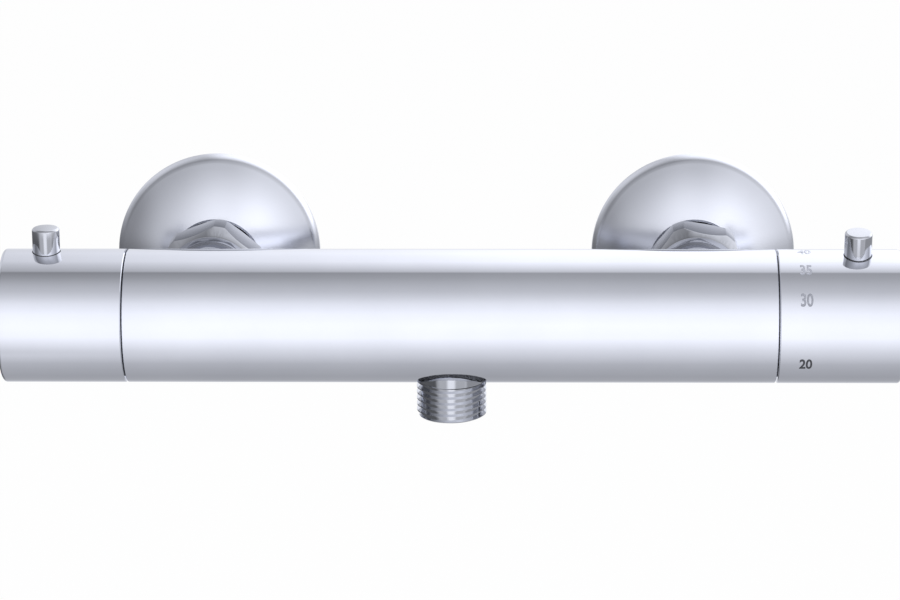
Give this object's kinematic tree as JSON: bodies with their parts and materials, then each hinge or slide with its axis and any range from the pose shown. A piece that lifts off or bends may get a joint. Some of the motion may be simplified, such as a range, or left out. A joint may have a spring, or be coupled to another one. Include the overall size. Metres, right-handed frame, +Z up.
{
  "type": "thermostatic shower valve",
  "caption": "Round exposed thermostatic bar valve with a turning handle at each end, domed wall inlets behind and a threaded outlet below.",
  "frame": {"origin": "in the wall plane, midway between the two inlet axes", "axes": "+X along the bar to the right seen from the front, +Y into the wall, +Z up"},
  "size_m": [0.268, 0.1015, 0.064],
  "materials": {
    "polished_chrome": "mirror-polished chrome plate",
    "raw_brass": "turned brass",
    "spring_steel": "drawn stainless steel",
    "seal_rubber": "moulded rubber",
    "white_plastic": "moulded acetal",
    "black_plastic": "moulded engineering plastic",
    "disc_ceramic": "lapped alumina",
    "element_copper": "drawn copper"
  },
  "bodies": {
    "valve": {"valve_body": "polished_chrome", "outlet_nipple": "polished_chrome", "outlet_o_ring": "seal_rubber", "hot_union_nut": "polished_chrome", "hot_snap_ring": "spring_steel", "hot_inlet_washer": "seal_rubber", "hot_inlet_strainer": "spring_steel", "hot_check_housing": "white_plastic", "hot_wall_union": "polished_chrome", "hot_dome_flange": "polished_chrome", "hot_flange_o_ring": "seal_rubber", "cold_union_nut": "polished_chrome", "cold_snap_ring": "spring_steel", "cold_inlet_washer": "seal_rubber", "cold_inlet_strainer": "spring_steel", "cold_check_housing": "white_plastic", "cold_wall_union": "polished_chrome", "cold_dome_flange": "polished_chrome", "cold_flange_o_ring": "seal_rubber", "flow_cartridge_nut": "raw_brass", "flow_stop_ring": "black_plastic", "flow_housing": "raw_brass", "thermo_cartridge_nut": "raw_brass", "thermo_stop_ring": "black_plastic", "thermo_housing": "black_plastic", "flow_inlet_seal": "seal_rubber", "flow_fixed_disc": "disc_ceramic", "flow_body_o_ring": "seal_rubber", "thermo_filter": "spring_steel", "thermo_o_ring_inner": "seal_rubber", "thermo_o_ring_middle": "seal_rubber", "thermo_o_ring_outer": "seal_rubber", "spindle_clip": "spring_steel"},
    "flow_handle_body": {"flow_handle": "polished_chrome", "flow_grip_pin": "polished_chrome", "flow_end_cap": "polished_chrome", "flow_screw": "spring_steel", "flow_adapter": "white_plastic", "flow_spindle": "raw_brass", "flow_spindle_o_ring": "seal_rubber", "flow_moving_disc": "disc_ceramic"},
    "temp_handle_body": {"temp_handle": "polished_chrome", "temp_grip_pin": "polished_chrome", "temp_end_cap": "polished_chrome", "temp_screw": "spring_steel", "temp_adapter": "white_plastic", "temp_spindle": "raw_brass", "temp_spindle_o_ring": "seal_rubber"},
    "carriage": {"regulating_nut": "raw_brass", "overload_cup": "raw_brass", "overload_spring": "spring_steel", "wax_element": "element_copper", "mixing_spool": "white_plastic", "spool_o_ring": "seal_rubber", "return_spring": "spring_steel"},
    "hot_poppet": {"hot_check_poppet": "white_plastic", "hot_check_spring": "spring_steel"},
    "cold_poppet": {"cold_check_poppet": "white_plastic", "cold_check_spring": "spring_steel"}
  },
  "joints": [
    {"name": "flow_handle_turn", "type": "hinge", "parent": "valve", "child": "flow_handle_body", "pos_m": [-0.1156, -0.0685, 0], "axis": [1, 0, 0], "range_deg": [0, 90]},
    {"name": "temp_handle_turn", "type": "hinge", "parent": "valve", "child": "temp_handle_body", "pos_m": [0.1156, -0.0685, 0], "axis": [1, 0, 0], "range_deg": [-118, 60]},
    {"name": "carriage_slide", "type": "slide", "parent": "valve", "child": "carriage", "axis": [1, 0, 0], "range_m": [-0.00197, 0.00101], "deforming": ["return_spring"]},
    {"name": "hot_check_lift", "type": "slide", "parent": "valve", "child": "hot_poppet", "axis": [0, -1, 0], "range_m": [0, 0.003], "stiffness_N_per_m": 150, "springref_m": -0.002, "deforming": ["hot_check_spring"]},
    {"name": "cold_check_lift", "type": "slide", "parent": "valve", "child": "cold_poppet", "axis": [0, -1, 0], "range_m": [0, 0.003], "stiffness_N_per_m": 150, "springref_m": -0.002, "deforming": ["cold_check_spring"]}
  ],
  "couplings": [
    {"joint": "carriage_slide", "follows": "temp_handle_turn", "m_per_rad": 0.00095493}
  ]
}
